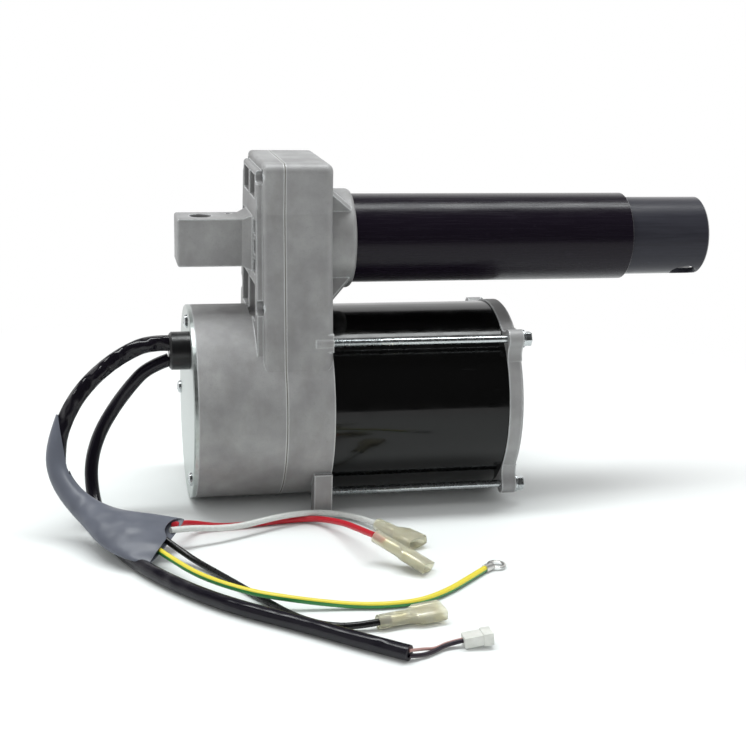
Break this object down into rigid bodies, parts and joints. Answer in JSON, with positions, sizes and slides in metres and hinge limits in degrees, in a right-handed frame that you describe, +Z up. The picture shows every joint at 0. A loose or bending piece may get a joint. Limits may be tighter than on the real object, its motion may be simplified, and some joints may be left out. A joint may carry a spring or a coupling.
{
  "type": "linear lift actuator",
  "caption": "Mains lift actuator: an induction motor under a spur gearbox turns a lead screw that pushes a tubular ram out of a guide tube, with a clevis behind and loose leads.",
  "frame": {"origin": "middle of the clevis bore, on the screw's axis", "axes": "+X along the screw towards the ram's free end, +Z up along the clevis bore, away from the motor, +Y across, away from the cable entry"},
  "size_m": [0.3202, 0.2407, 0.1638],
  "materials": {
    "cast_alloy": "sand-cast, slightly rough, edges rubbed bright",
    "gasket_fibre": "pressed fibre",
    "zinc_steel": "bright zinc plate",
    "cover_steel": "zinc-plated sheet",
    "black_enamel": "gloss black enamel",
    "tube_black": "satin black",
    "ram_black": "satin blue-black",
    "ground_steel": "ground",
    "gear_steel": "oiled",
    "lamination": "stacked sheet",
    "rotor_alloy": "die-cast",
    "copper": "enamelled copper",
    "bronze": "sintered bronze",
    "magnet": "bonded ferrite",
    "board_green": "solder mask",
    "bracket_plastic": "moulded nylon",
    "black_rubber": "satin",
    "black_sleeve": "wrinkled, semi-gloss",
    "grey_sleeve": "matt",
    "wire_white": "semi-gloss",
    "wire_red": "semi-gloss",
    "wire_black": "semi-gloss",
    "wire_earth": "green with a yellow stripe",
    "clear_boot": "translucent",
    "connector_white": "translucent",
    "tinned": "tin plate"
  },
  "bodies": {
    "case": {"gearcase_rear": "cast_alloy", "gearcase_front": "cast_alloy", "case_gasket": "gasket_fibre", "case_screws": "zinc_steel", "rear_cover": "cover_steel", "rear_cover_screws": "zinc_steel", "cable_grommet": "black_rubber", "guide_tube": "tube_black", "screw_rear_bearing": "ground_steel", "screw_front_bearing": "ground_steel", "rotor_front_bearing": "ground_steel", "rotor_rear_bearing": "ground_steel", "first_shaft_bushes": "bronze", "second_shaft_bushes": "bronze", "sensor_board": "board_green", "sensor_bracket": "bracket_plastic", "stator_core": "lamination", "stator_windings": "copper", "stator_shell": "black_enamel", "end_bell": "cast_alloy", "tie_bolts": "zinc_steel", "tie_washers": "zinc_steel", "wave_washer": "ground_steel", "motor_lead_sleeve": "black_sleeve", "sensor_lead_sleeve": "black_sleeve", "junction_sleeve": "grey_sleeve", "white_wire": "wire_white", "red_wire": "wire_red", "black_wire": "wire_black", "earth_wire": "wire_earth", "fine_wire": "wire_black", "inner_leads": "black_sleeve", "white_boot": "clear_boot", "red_boot": "clear_boot", "black_boot": "clear_boot", "ring_terminal": "tinned", "small_connector": "connector_white"},
    "rotor": {"rotor_shaft": "ground_steel", "rotor_core": "lamination", "rotor_end_rings": "rotor_alloy", "motor_pinion": "gear_steel"},
    "first_idler": {"first_idler_shaft": "ground_steel", "first_idler_gear": "gear_steel", "first_idler_pinion": "gear_steel", "sensor_magnet": "magnet"},
    "second_idler": {"second_idler_shaft": "ground_steel", "second_idler_gear": "gear_steel", "second_idler_pinion": "gear_steel"},
    "screw": {"lead_screw": "ground_steel", "screw_gear": "gear_steel", "screw_gear_key": "gear_steel"},
    "ram": {"ram_tube": "ram_black", "drive_nut": "bronze", "nut_pins": "gear_steel"}
  },
  "joints": [
    {"name": "rotor_spin", "type": "hinge", "parent": "case", "child": "rotor", "pos_m": [0, 0, -0.0785], "axis": [1, 0, 0], "range_deg": [0, 174290]},
    {"name": "first_idler_spin", "type": "hinge", "parent": "case", "child": "first_idler", "pos_m": [0, -0.00566, -0.05518], "axis": [1, 0, 0], "range_deg": [-53045, 0]},
    {"name": "second_idler_spin", "type": "hinge", "parent": "case", "child": "second_idler", "pos_m": [0, 0.006, -0.03194], "axis": [1, 0, 0], "range_deg": [0, 19543]},
    {"name": "screw_spin", "type": "hinge", "parent": "case", "child": "screw", "pos_m": [0, 0, 0], "axis": [1, 0, 0], "range_deg": [-7200, 0]},
    {"name": "ram_slide", "type": "slide", "parent": "case", "child": "ram", "axis": [1, 0, 0], "range_m": [0, 0.1]}
  ],
  "couplings": [
    {"joint": "first_idler_spin", "follows": "rotor_spin", "ratio": -0.30435},
    {"joint": "second_idler_spin", "follows": "rotor_spin", "ratio": 0.11213},
    {"joint": "screw_spin", "follows": "rotor_spin", "ratio": -0.04131},
    {"joint": "ram_slide", "follows": "rotor_spin", "m_per_rad": 0.000032874}
  ]
}
